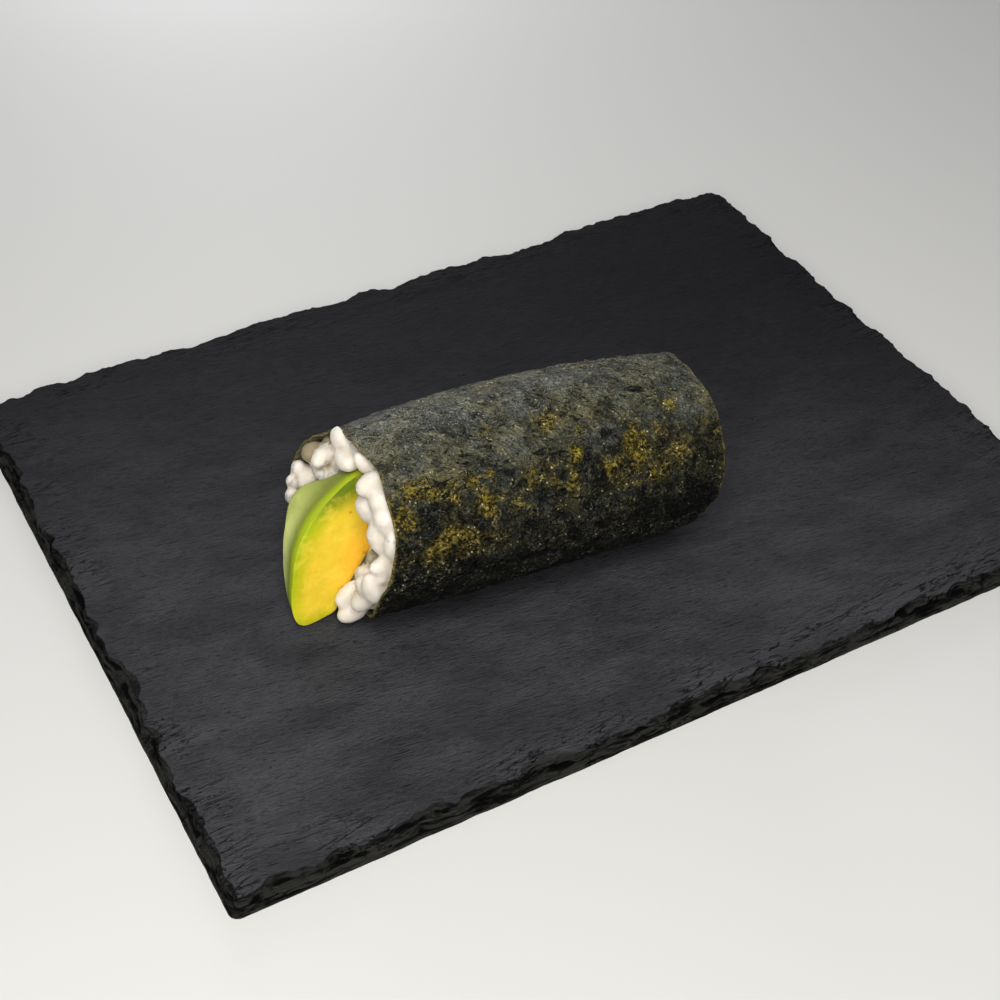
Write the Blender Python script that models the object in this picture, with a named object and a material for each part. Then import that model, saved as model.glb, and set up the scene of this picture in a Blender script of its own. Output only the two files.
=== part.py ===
"""An avocado hand roll lying on a slate board.

Metres, +Z up. The origin is the middle of the board's flat underside, and the board's long side
runs along X. The roll is modelled in its own frame: X along its axis, -X at the open near end,
Z up from the top of the board. The frame is placed on the board by one empty.
"""

import math
import random

import bmesh
import bpy
from mathutils import Euler, Vector, noise
from mathutils.bvhtree import BVHTree

MM = 0.001

# Board
BOARD_LENGTH = 240 * MM
BOARD_WIDTH = 177 * MM
BOARD_THICK = 5 * MM
BOARD_CORNERS = (7 * MM, 3.5 * MM, 2.5 * MM, 4 * MM)
EDGE_STEPS = 260
EDGE_LEVELS = (0.0, 0.3, 0.62, 1.0)
BOARD_SEED = 5
CHIP_COUNT = 80
CHIP_WIDTHS = (5 * MM, 16 * MM)
CHIP_DEPTHS = (0.6 * MM, 3.2 * MM)
BEVEL_INSET = 1.4 * MM
BEVEL_CURVE = 1.4
EDGE_RIPPLE = 0.3 * MM
LEDGE_RIPPLE = 1.8 * MM
RIPPLE_LENGTH = 6 * MM
LEVEL_SHIFT = 10 * MM

# Roll: where its frame stands on the board, and the outer radius at three places along it
ROLL_X = -31.0 * MM
ROLL_Y = -23.5 * MM
ROLL_TURN = math.radians(-5.5)
RADIUS_PLACE = 40 * MM
RADIUS_NEAR = 20.7 * MM
RADIUS_MID = 23.2 * MM
RADIUS_FAR = 22.4 * MM
RADIUS_REACH = 1.3

# Seaweed sheet
GAP = 0.3 * MM
SHEET_THICK = 0.5 * MM
SHEET_COLUMNS = 56
SHEET_ROWS = 14
ROW_CROWDING = 0.055
LUMP = 0.28 * MM
LUMP_LENGTH = 11 * MM
SEAM_ANGLE = math.radians(-96)
SEAM_SPAN = math.radians(50)
SEAM_STEP = 0.35 * MM
SEAM_EDGE = math.radians(0.25)
CURL_LENGTH = 4 * MM
CURL_DEPTH = 0.6 * MM
FLARE_ANGLE = math.radians(45)
FLARE_SPAN = math.radians(75)
FLARE_LENGTH = 16 * MM
FLARE_RISE = 1.0 * MM
# How far along the roll each rim lies, in degrees from the top (+ to the far side) and millimetres
NEAR_RIM = (
    (-150, -30.4),
    (-130, -30.8),
    (-113, -31.4),
    (-88, -28.7),
    (-64, -25.9),
    (-42, -25.5),
    (-15, -26.8),
    (12, -27.8),
    (35, -31.0),
    (57, -33.9),
    (80, -36.2),
    (105, -38.0),
    (125, -38.3),
    (150, -34.8),
    (180, -31.0),
)
FAR_RIM = (
    (-120, 52.6),
    (-105, 54.2),
    (-88, 56.2),
    (-60, 57.3),
    (-25, 57.6),
    (8, 56.2),
    (28, 56.8),
    (60, 55.4),
    (120, 54.6),
    (180, 53.0),
)

# Rice
RICE_CLEAR = SHEET_THICK + GAP + 1.5 * LUMP
RICE_COLUMNS = 40
CORE_LOOPS = (0.3, 0.66, 0.95)
CORE_ROWS = (0.01, 0.2, 0.4, 0.6, 0.8, 0.99)
RICE_FACE_MIDDLE = -24.6 * MM
RICE_RECESS = ((-150, -0.8), (-115, 0.2), (-40, 0.8), (30, 2.0), (75, 2.2), (110, 1.4), (170, -0.4))
RICE_FAR_RECESS = 4.2 * MM
RICE_FAR_DOME = 0.6 * MM
GRAIN_LENGTH = 7.2 * MM
GRAIN_WIDTH = 4.2 * MM
GRAIN_DEPTH = 3.9 * MM
GRAIN_SPREAD = 0.1
GRAIN_RISE = 1.0 * MM
GRAIN_TILT = 0.4
GRAIN_SPACING = 4.6 * MM
GRAIN_TRIES = 2600
# Least and greatest share of an end's area that a grain's middle is drawn from
GRAIN_AREA = (0.02, 0.86)
GRAINS_AT_AN_END = 50
RICE_SEED = 11
# Grains that spill over the sheet's rim at the board: distance along the roll, across it and
# height in millimetres, heading and dip in degrees
SPILLED_GRAINS = (
    (-33.2, -9.0, 3.2, 12, 30),
    (-31.4, -5.4, 4.6, 45, 12),
    (-30.8, -12.6, 7.0, -15, 25),
)
SPILL_LIFT = 0.2 * MM
SPILL_LIFTS = 15

# Avocado wedge: its front cut face leans back by WEDGE_LEAN from WEDGE_FOOT at the board's top.
# The outline has distance along the roll, height, thickness behind the face and how far the back
# edge is drawn in, in millimetres: round the skin side first, from the tip on the board, then
# back along the stone side.
WEDGE_FOOT = -6 * MM
WEDGE_LEAN = 0.19
WEDGE_STEPS = 52
WEDGE_BULGE = 0.1
WEDGE_STONE_THICK = 4.2 * MM
# Loops of the wedge: the share of the thickness they lie at, and how far they are drawn in
WEDGE_LOOPS = ((0.0, 0.0), (0.1, 0.0), (0.36, 0.0), (0.68, 0.0), (0.95, 0.0), (1.0, -0.35 * MM))
WEDGE_OUTLINE = (
    (-43.6, 0.6, 2.6, 0.0),
    (-46.0, 5.0, 4.2, 0.2),
    (-45.0, 12.0, 7.0, 0.2),
    (-43.0, 20.0, 8.8, 0.1),
    (-38.8, 26.8, 10.0, 0.1),
    (-33.2, 31.8, 8.6, 2.2),
    (-26.0, 36.0, 7.2, 3.6),
    (-10.0, 38.4, 8.0, 3.0),
    (14.0, 39.0, 8.4, 3.0),
    (36.0, 37.0, 8.4, 2.6),
    (50.0, 33.0, 8.0, 1.6),
    (55.0, 28.5, 7.4, 0.6),
    (55.4, 20.5, 6.0, 0.2),
    (50.0, 15.8, 4.8, 0.0),
    (36.0, 15.0, 4.4, 0.0),
    (10.0, 16.5, 4.2, 0.0),
    (-13.0, 17.8, 4.2, 0.0),
    (-24.0, 16.4, 4.2, 0.0),
    (-29.6, 10.2, 4.0, 0.0),
    (-34.4, 4.4, 3.4, 0.0),
    (-36.4, 1.2, 2.6, 0.0),
)

# Colour, roughness and the least angle in degrees that shows as an edge
LOOKS = {
    "slate_board": ((0.030, 0.030, 0.032), 0.62, 35),
    "nori_wrap": ((0.022, 0.026, 0.014), 0.42, 50),
    "rice": ((0.82, 0.76, 0.66), 0.48, 60),
    "avocado_wedge": ((0.78, 0.60, 0.08), 0.46, 40),
}


def clear_scene():
    for item in list(bpy.data.objects):
        bpy.data.objects.remove(item, do_unlink=True)


def make_material(name, colour, roughness):
    material = bpy.data.materials.new(name)
    material.use_nodes = True
    shader = material.node_tree.nodes["Principled BSDF"]
    shader.inputs["Base Color"].default_value = (*colour, 1)
    shader.inputs["Roughness"].default_value = roughness
    shader.inputs["Metallic"].default_value = 0
    return material


def make_object(name, points, faces, parent=None, collection=None):
    mesh = bpy.data.meshes.new(name)
    mesh.from_pydata([tuple(p) for p in points], [], faces)
    mesh.update()
    item = bpy.data.objects.new(name, mesh)
    (collection or bpy.context.scene.collection).objects.link(item)
    item.parent = parent
    return item


def finish(item):
    colour, roughness, sharp = LOOKS[item.name]
    item.data.materials.clear()
    item.data.materials.append(make_material(item.name, colour, roughness))
    item.data.shade_smooth()
    item.data.set_sharp_from_angle(angle=math.radians(sharp))


def catmull(a, b, c, d, t):
    return b + 0.5 * t * (c - a + t * (2 * a - 5 * b + 4 * c - d + t * (3 * (b - c) + d - a)))


def round_curve(stations, degrees):
    """Value at an angle of the smooth closed curve through (degrees, value) stations."""
    count = len(stations)
    degrees = (degrees - stations[0][0]) % 360 + stations[0][0]
    for i, (start, _) in enumerate(stations):
        end = stations[(i + 1) % count][0] + (360 if i + 1 == count else 0)
        if start <= degrees <= end:
            values = [stations[(i + k) % count][1] for k in (-1, 0, 1, 2)]
            return catmull(*values, (degrees - start) / (end - start))
    return stations[0][1]


def closed_curve(points, steps):
    """Evenly many points on the smooth closed curve through the given ones."""
    result = []
    count = len(points)
    for step in range(steps):
        place = step * count / steps
        i = int(place)
        knots = [Vector(points[(i + k) % count]) for k in (-1, 0, 1, 2)]
        result.append(catmull(*knots, place - i))
    return result


def grid_faces(rows, columns, flip=False, ring=False):
    """Quads between rows of points that each close round; a ring joins its last row to its first."""
    faces = []
    for row in range(rows if ring else rows - 1):
        here, there = row * columns, (row + 1) % rows * columns
        for c in range(columns):
            d = (c + 1) % columns
            quad = (here + c, here + d, there + d, there + c)
            faces.append(quad[::-1] if flip else quad)
    return faces


# Board

def board_outline(steps):
    """Points and outward directions, evenly spaced round a rectangle with round corners."""
    half_x, half_y = BOARD_LENGTH / 2, BOARD_WIDTH / 2
    corners = ((half_x, half_y), (-half_x, half_y), (-half_x, -half_y), (half_x, -half_y))
    sides = (BOARD_WIDTH, BOARD_LENGTH, BOARD_WIDTH, BOARD_LENGTH)
    stretches = []
    for turn, radius in enumerate(BOARD_CORNERS):
        heading = turn * math.pi / 2
        outward = Vector((math.cos(heading), math.sin(heading)))
        along = Vector((-outward.y, outward.x))
        middle = Vector(corners[turn]) - (outward + along) * radius
        straight = sides[turn] - BOARD_CORNERS[turn - 1] - radius
        stretches.append((heading, outward, along, middle, radius, straight))
    total = sum(s[5] + math.pi / 2 * s[4] for s in stretches)
    result = []
    for step in range(steps):
        left = total * step / steps
        for heading, outward, along, middle, radius, straight in stretches:
            if left < straight:
                result.append((middle + outward * radius + along * (left - straight), outward))
                break
            left -= straight
            arc = math.pi / 2 * radius
            if left < arc:
                swing = heading + left / radius
                outward = Vector((math.cos(swing), math.sin(swing)))
                result.append((middle + outward * radius, outward))
                break
            left -= arc
    return result, total


def board_chips(total):
    draw = random.Random(BOARD_SEED)
    chips = []
    for _ in range(CHIP_COUNT):
        width = draw.uniform(*CHIP_WIDTHS)
        depth = draw.uniform(*CHIP_DEPTHS) * math.sqrt(width / CHIP_WIDTHS[1])
        chips.append((draw.uniform(0, total), width, depth))
    return chips


def chip_inset(chips, place, total):
    """How far the top edge is chipped back at a distance round the board."""
    deepest = 0.0
    for middle, width, depth in chips:
        away = abs((place - middle + total / 2) % total - total / 2)
        deepest = max(deepest, depth * (1 - (2 * away / width) ** 2))
    return deepest


def make_board():
    outline, total = board_outline(EDGE_STEPS)
    chips = board_chips(total)
    points = []
    for level in EDGE_LEVELS:
        for i, (place, outward) in enumerate(outline):
            around = total * i / EDGE_STEPS
            ripple = noise.noise(Vector((place.x, place.y, level * LEVEL_SHIFT)) / RIPPLE_LENGTH)
            inset = EDGE_RIPPLE * (1 + ripple)
            inset += level ** BEVEL_CURVE * (BEVEL_INSET + chip_inset(chips, around, total))
            inset += level * (1 - level) * LEDGE_RIPPLE * ripple
            spot = place - outward * inset
            points.append((spot.x, spot.y, BOARD_THICK * level))
    faces = grid_faces(len(EDGE_LEVELS), EDGE_STEPS)
    faces.append(tuple(range(EDGE_STEPS))[::-1])
    last = EDGE_STEPS * (len(EDGE_LEVELS) - 1)
    faces.append(tuple(range(last, last + EDGE_STEPS)))
    finish(make_object("slate_board", points, faces))


# Roll

def roll_radius(along):
    place = max(-RADIUS_REACH, min(RADIUS_REACH, along / RADIUS_PLACE))
    slope = (RADIUS_FAR - RADIUS_NEAR) / 2
    bend = (RADIUS_FAR + RADIUS_NEAR) / 2 - RADIUS_MID
    return RADIUS_MID + slope * place + bend * place * place


def near_rim(angle):
    return round_curve(NEAR_RIM, math.degrees(angle)) * MM


def far_rim(angle):
    return round_curve(FAR_RIM, math.degrees(angle)) * MM


def seam_rise(angle):
    """The sheet's outer end lies over its start and stops at the seam with a step."""
    past = (angle - SEAM_ANGLE) % (2 * math.pi)
    if past > SEAM_SPAN:
        return 0.0
    fade = 1 - past / SEAM_SPAN
    return SEAM_STEP * fade * fade * (3 - 2 * fade)


def on_roll(along, angle, radius, floor):
    """A point of the roll: its axis lies one outer radius above the board."""
    height = roll_radius(along) + radius * math.cos(angle)
    return Vector((along, radius * math.sin(angle), max(height, floor)))


def near_flare(angle, from_start):
    """The sheet stands a little off the rice round the far side of the open end."""
    turn = (angle - FLARE_ANGLE + math.pi) % (2 * math.pi) - math.pi
    spread = max(0.0, 1 - (turn / FLARE_SPAN) ** 2)
    return FLARE_RISE * spread * max(0.0, 1 - from_start / FLARE_LENGTH) ** 2


def sheet_point(along, angle, wall, start, end):
    place = Vector((along, math.sin(angle) * RADIUS_MID, math.cos(angle) * RADIUS_MID))
    radius = roll_radius(along) + LUMP * noise.noise(place / LUMP_LENGTH)
    radius += near_flare(angle, along - start)
    radius -= CURL_DEPTH * max(0.0, 1 - (end - along) / CURL_LENGTH) ** 2
    if wall == 0:
        radius += seam_rise(angle)
    return on_roll(along, angle, radius - wall, GAP + wall)


def sheet_angles():
    """Angles round the sheet, from just above its seam to just below it."""
    between = [SEAM_ANGLE + 2 * math.pi * c / SHEET_COLUMNS for c in range(1, SHEET_COLUMNS)]
    return [SEAM_ANGLE + SEAM_EDGE, *between, SEAM_ANGLE + 2 * math.pi - SEAM_EDGE]


def make_wrap(frame):
    angles = sheet_angles()
    points = []
    for wall in (0.0, SHEET_THICK):
        rows = range(SHEET_ROWS + 1)
        for row in rows if wall == 0 else reversed(rows):
            part = row / SHEET_ROWS
            part -= ROW_CROWDING * math.sin(2 * math.pi * part)
            for angle in angles:
                start, end = near_rim(angle), far_rim(angle)
                along = start + (end - start) * part
                points.append(sheet_point(along, angle, wall, start, end))
    faces = grid_faces(2 * (SHEET_ROWS + 1), len(angles), flip=True, ring=True)
    finish(make_object("nori_wrap", points, faces, frame))


def wedge_ring(outline, grow, offset, depth):
    """One loop of the wedge, offset outwards in its plane and set back from the front face."""
    ring = []
    count = len(outline)
    for i, spot in enumerate(outline):
        before, after = outline[i - 1], outline[(i + 1) % count]
        edge = Vector((after.x - before.x, after.y - before.y)).normalized()
        outward = Vector((-edge.y, edge.x))
        thick, drawn = spot[2], spot[3]
        out = offset + grow - drawn * depth ** 2
        if 0 < depth < 1:
            out += WEDGE_BULGE * max(0.0, thick - WEDGE_STONE_THICK)
        height = max(spot.y + outward.y * out, GAP - grow)
        front = WEDGE_FOOT + WEDGE_LEAN * height - grow
        ring.append((spot.x + outward.x * out, front + depth * (thick + 2 * grow), height))
    return ring


def wedge_shape(grow):
    outline = closed_curve([Vector(p) * MM for p in WEDGE_OUTLINE], WEDGE_STEPS)
    points = []
    for depth, offset in WEDGE_LOOPS:
        points += wedge_ring(outline, grow, offset, depth)
    faces = grid_faces(len(WEDGE_LOOPS), WEDGE_STEPS)
    back = WEDGE_STEPS * (len(WEDGE_LOOPS) - 1)
    for i in range(WEDGE_STEPS // 2 - 1):
        j = WEDGE_STEPS - 1 - i
        faces += [(j, i + 1, i), (j, j - 1, i + 1)]
        faces += [(back + j, back + i, back + i + 1), (back + j, back + i + 1, back + j - 1)]
    return points, faces


# Rice

def rice_radius(along):
    return roll_radius(along) - RICE_CLEAR


def near_face(part, angle):
    """Where the rice ends at the near end: it follows the sheet's rim, a little inside it."""
    edge = near_rim(angle) + round_curve(RICE_RECESS, math.degrees(angle)) * MM
    return RICE_FACE_MIDDLE + (edge - RICE_FACE_MIDDLE) * part


def far_face(part, angle):
    edge = far_rim(angle) - RICE_FAR_RECESS
    return edge + RICE_FAR_DOME * (1 - part * part)


def core_point(end_face, part, angle):
    along = end_face(part, angle)
    return on_roll(along, angle, part * rice_radius(along), 0)


def make_core(frame):
    """The rice without its grains: a barrel with rounded rims and uneven ends."""
    turns = [2 * math.pi * c / RICE_COLUMNS for c in range(RICE_COLUMNS)]
    points = []
    for part in CORE_LOOPS:
        points += [core_point(near_face, part, a) for a in turns]
    for row in CORE_ROWS:
        for angle in turns:
            start, end = near_face(1, angle), far_face(1, angle)
            along = start + (end - start) * row
            points.append(on_roll(along, angle, rice_radius(along), 0))
    for part in reversed(CORE_LOOPS):
        points += [core_point(far_face, part, a) for a in turns]
    rings = len(points) // RICE_COLUMNS
    faces = grid_faces(rings, RICE_COLUMNS, flip=True)
    last = len(points) - RICE_COLUMNS
    points += [core_point(near_face, 0, 0), core_point(far_face, 0, 0)]
    for c in range(RICE_COLUMNS):
        d = (c + 1) % RICE_COLUMNS
        faces += [(c, d, len(points) - 2), (last + d, last + c, len(points) - 1)]
    return make_object("rice", points, faces, frame)


def grain_points(template, size, turn, middle):
    points = []
    for x, y, z in template:
        spot = Vector((x * size.x, y * size.y, z * size.z))
        spot.rotate(turn)
        points.append(spot + middle)
    return points


def grain_fits(points, faces, keep_out):
    """A grain stays inside the sheet, above the board and clear of the avocado."""
    for spot in points:
        centre = roll_radius(spot.x)
        angle = math.atan2(spot.y, spot.z - centre)
        reach = math.hypot(spot.y, spot.z - centre)
        if spot.x > near_rim(angle) - 2 * GAP and reach > rice_radius(spot.x) or spot.z < 2 * GAP:
            return False
        surface, facing, _, _ = keep_out.find_nearest(spot)
        if (spot - surface).dot(facing) < 0:
            return False
    return not BVHTree.FromPolygons(points, faces).overlap(keep_out)


def grain_template():
    ball = bmesh.new()
    bmesh.ops.create_uvsphere(ball, u_segments=6, v_segments=4, radius=1)
    points = [v.co.copy() for v in ball.verts]
    faces = [tuple(v.index for v in f.verts) for f in ball.faces]
    ball.free()
    return points, faces


def spill_grains(frame, collection, keep_out):
    """Each spilled grain is lifted until it is clear of the sheet and the avocado."""
    template, faces = grain_template()
    size = Vector((GRAIN_WIDTH, GRAIN_DEPTH, GRAIN_LENGTH)) / 2
    middles = []
    for along, across, height, heading, dip in SPILLED_GRAINS:
        turn = Euler((0, math.radians(90 - dip), math.radians(heading)), "XYZ")
        middle = Vector((along, across, height)) * MM
        for _ in range(SPILL_LIFTS):
            points = grain_points(template, size, turn, middle)
            if grain_fits(points, faces, keep_out):
                make_object("grain", points, faces, frame, collection)
                middles.append(middle)
                break
            middle.z += SPILL_LIFT
    return middles


def scatter_grains(frame, collection, end_face, outward, keep_out, draw, taken):
    """Grains scattered evenly over one end of the rice, most of them lying in its face."""
    template, faces = grain_template()
    middles = list(taken)
    for _ in range(GRAIN_TRIES):
        if len(middles) == GRAINS_AT_AN_END:
            break
        part = math.sqrt(draw.uniform(*GRAIN_AREA))
        angle = draw.uniform(-math.pi, math.pi)
        middle = core_point(end_face, part, angle)
        middle.x += outward * GRAIN_RISE
        near = min(((middle - other).length for other in middles), default=1)
        bigger = draw.uniform(1 - GRAIN_SPREAD, 1 + GRAIN_SPREAD)
        size = Vector((GRAIN_WIDTH, GRAIN_DEPTH, GRAIN_LENGTH)) / 2 * bigger
        turn = Euler((draw.uniform(0, math.pi), 0, draw.gauss(0, GRAIN_TILT)), "XYZ")
        points = grain_points(template, size, turn, middle)
        if near < GRAIN_SPACING or not grain_fits(points, faces, keep_out):
            continue
        middles.append(middle)
        make_object("grain", points, faces, frame, collection)


def apply_boolean(item, operation, solver, other=None, collection=None):
    change = item.modifiers.new("join", "BOOLEAN")
    change.operation = operation
    change.solver = solver
    if collection:
        change.operand_type = "COLLECTION"
        change.collection = collection
    else:
        change.object = other
    bpy.context.view_layer.update()
    shape = item.evaluated_get(bpy.context.evaluated_depsgraph_get())
    mesh = bpy.data.meshes.new_from_object(shape)
    item.modifiers.clear()
    item.data = mesh


def keep_outer_shell(item):
    """Keep the largest connected shell, which fills sealed hollows and drops scraps."""
    shape = bmesh.new()
    shape.from_mesh(item.data)
    left = set(shape.verts)
    shells = []
    while left:
        shell = {left.pop()}
        edge = list(shell)
        while edge:
            vert = edge.pop()
            for link in vert.link_edges:
                other = link.other_vert(vert)
                if other in left:
                    left.remove(other)
                    shell.add(other)
                    edge.append(other)
        shells.append(shell)
    shells.sort(key=len)
    for shell in shells[:-1]:
        bmesh.ops.delete(shape, geom=list(shell), context="VERTS")
    shape.to_mesh(item.data)
    shape.free()


def make_rice(frame):
    rice = make_core(frame)
    points, faces = wedge_shape(GAP)
    cutter = make_object("wedge_space", points, faces, frame)
    apply_boolean(rice, "DIFFERENCE", "EXACT", other=cutter)
    bpy.data.objects.remove(cutter, do_unlink=True)
    keep_out = BVHTree.FromPolygons([Vector(p) for p in points], faces)
    grains = bpy.data.collections.new("grains")
    bpy.context.scene.collection.children.link(grains)
    draw = random.Random(RICE_SEED)
    spilled = spill_grains(frame, grains, keep_out)
    scatter_grains(frame, grains, near_face, -1, keep_out, draw, spilled)
    scatter_grains(frame, grains, far_face, 1, keep_out, draw, [])
    apply_boolean(rice, "UNION", "MANIFOLD", collection=grains)
    for grain in list(grains.objects):
        bpy.data.objects.remove(grain, do_unlink=True)
    bpy.data.collections.remove(grains)
    keep_outer_shell(rice)
    finish(rice)


def make_wedge(frame):
    points, faces = wedge_shape(0.0)
    finish(make_object("avocado_wedge", points, faces, frame))


def main():
    clear_scene()
    make_board()
    frame = bpy.data.objects.new("roll_frame", None)
    bpy.context.scene.collection.objects.link(frame)
    frame.location = (ROLL_X, ROLL_Y, BOARD_THICK)
    frame.rotation_euler.z = ROLL_TURN
    make_wrap(frame)
    make_rice(frame)
    make_wedge(frame)


main()
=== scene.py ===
import math
import random

import bpy
import numpy as np
from mathutils import Euler, Matrix, Vector, noise
from mathutils.bvhtree import BVHTree
from mathutils.kdtree import KDTree


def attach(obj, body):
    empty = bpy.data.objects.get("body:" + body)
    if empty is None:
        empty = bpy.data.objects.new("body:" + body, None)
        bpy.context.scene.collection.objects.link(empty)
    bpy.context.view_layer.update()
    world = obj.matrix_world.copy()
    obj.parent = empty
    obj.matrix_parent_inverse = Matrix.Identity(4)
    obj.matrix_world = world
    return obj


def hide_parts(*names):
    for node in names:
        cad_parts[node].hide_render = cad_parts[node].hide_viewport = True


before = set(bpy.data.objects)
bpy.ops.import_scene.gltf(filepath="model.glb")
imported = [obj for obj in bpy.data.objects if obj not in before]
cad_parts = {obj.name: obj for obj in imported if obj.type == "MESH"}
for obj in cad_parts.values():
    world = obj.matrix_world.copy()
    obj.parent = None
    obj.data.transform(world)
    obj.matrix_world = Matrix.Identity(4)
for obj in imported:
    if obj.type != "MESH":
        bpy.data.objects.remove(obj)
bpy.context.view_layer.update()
mm = 0.001  # lengths are in metres where no note says mm
print("frame loaded:", ", ".join(sorted(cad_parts)))

# where the roll lies on the board: its own frame has x along the roll, open end at -x
roll = dict(x=-0.0310, y=-0.0235, turn=math.radians(-5.5), boardTop=0.005)
rollToWorld = Matrix.Translation((roll["x"], roll["y"], roll["boardTop"]))
rollToWorld @= Matrix.Rotation(roll["turn"], 4, "Z")
worldToRoll = rollToWorld.inverted()


def deselect():
    bpy.ops.object.select_all(action="DESELECT")


def pick(item):
    deselect()
    item.select_set(True)
    bpy.context.view_layer.objects.active = item


def editAll(item):
    pick(item)
    bpy.ops.object.mode_set(mode="EDIT")
    bpy.ops.mesh.select_all(action="SELECT")


def leaveEdit():
    bpy.ops.object.mode_set(mode="OBJECT")


def applyModifiers(item):
    pick(item)
    for change in list(item.modifiers):
        bpy.ops.object.modifier_apply(modifier=change.name)


def applyPlace(item):
    pick(item)
    bpy.ops.object.transform_apply(location=True, rotation=True, scale=True)


def linkedCopy(item, name):  # a second object in the scene with its own mesh
    twin = bpy.data.objects.new(name, item.data.copy())
    bpy.context.scene.collection.objects.link(twin)
    return twin


def copyOfNode(nodeName, name):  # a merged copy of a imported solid, to be worked on
    piece = linkedCopy(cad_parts[nodeName], name)
    piece.data.materials.clear()
    editAll(piece)
    bpy.ops.mesh.customdata_custom_splitnormals_clear()
    bpy.ops.mesh.remove_doubles(threshold=0.01 * mm)
    bpy.ops.mesh.tris_convert_to_quads(face_threshold=math.radians(30), shape_threshold=math.radians(70))
    leaveEdit()
    return piece


def readPoints(mesh):
    points = np.zeros(len(mesh.vertices) * 3)
    mesh.vertices.foreach_get("co", points)
    return points.reshape(-1, 3)


def writePoints(mesh, points):
    mesh.vertices.foreach_set("co", np.asarray(points, dtype=float).ravel())
    mesh.update()


def readNormals(mesh):
    return np.array([v.normal for v in mesh.vertices])


def rollNormals(mesh):  # the same in the roll's frame
    return np.array([tuple(worldToRoll.to_3x3() @ v.normal) for v in mesh.vertices])


def inRoll(points):  # world points as roll points
    turned = np.array(worldToRoll.to_3x3()) @ points.T
    return turned.T + np.array(worldToRoll.translation)


def fromRoll(points):
    turned = np.array(rollToWorld.to_3x3()) @ points.T
    return turned.T + np.array(rollToWorld.translation)


def smoothStep(value, low, high):
    share = np.clip((value - low) / (high - low), 0, 1)
    return share * share * (3 - 2 * share)


def keepNumbers(mesh, name, values):  # one number a point, for a material to read
    layer = mesh.attributes.get(name) or mesh.attributes.new(name, "FLOAT", "POINT")
    layer.data.foreach_set("value", np.asarray(values, dtype=np.float32))


def displace(item, size, depth, level=0.5, stretch=None, turn=0.0, detail=2, contrast=1.0):
    texture = bpy.data.textures.new(item.name + "Clouds", "CLOUDS")
    texture.noise_scale = size if stretch is None else 1.0
    texture.noise_depth = detail
    texture.contrast = contrast
    change = item.modifiers.new("relief", "DISPLACE")
    change.texture = texture
    change.strength = depth
    change.mid_level = level
    if stretch is None:
        change.texture_coords = "LOCAL"
    else:  # an empty stretches and turns the pattern, and goes once the relief is in the mesh
        guide = bpy.data.objects.new("guide", None)
        bpy.context.scene.collection.objects.link(guide)
        guide.scale = [size * s for s in stretch]
        guide.rotation_euler.z = turn
        change.texture_coords = "OBJECT"
        change.texture_coords_object = guide
        bpy.context.view_layer.update()
    applyModifiers(item)
    if stretch is not None:
        bpy.data.objects.remove(guide, do_unlink=True)


def subdivideSmoothly(item, levels):
    smooth = item.modifiers.new("smooth", "SUBSURF")
    smooth.levels = smooth.render_levels = levels
    applyModifiers(item)


# materials

def tone(code):  # a colour as it looks on a screen, as light values
    parts = [int(code[i:i + 2], 16) / 255 for i in (0, 2, 4)]
    return tuple(p / 12.92 if p < 0.04045 else ((p + 0.055) / 1.055) ** 2.4 for p in parts) + (1.0,)


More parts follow.
